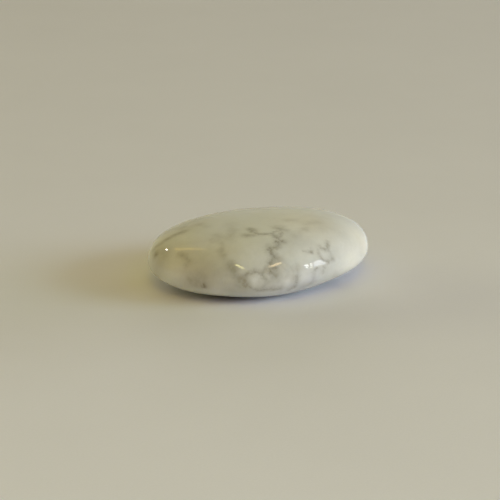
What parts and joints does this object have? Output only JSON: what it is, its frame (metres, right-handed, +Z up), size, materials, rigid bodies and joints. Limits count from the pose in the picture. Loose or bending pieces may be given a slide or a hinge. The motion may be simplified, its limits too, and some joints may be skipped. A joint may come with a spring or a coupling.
{
  "type": "tumbled howlite stone",
  "caption": "Flat oval tumbled howlite stone with a high polish, white with grey web-like veins, lying on its worn underside.",
  "frame": {"origin": "centre of the plan box, on the resting face under the stone", "axes": "+X along the stone's long axis, towards its fuller end; +Y across it; +Z up from the resting face, through the thin way"},
  "size_m": [0.04, 0.0296, 0.0119],
  "materials": {
    "howlite": "polished, white with grey veins"
  },
  "bodies": {
    "root": {"howlite_stone": "howlite"}
  },
  "joints": []
}
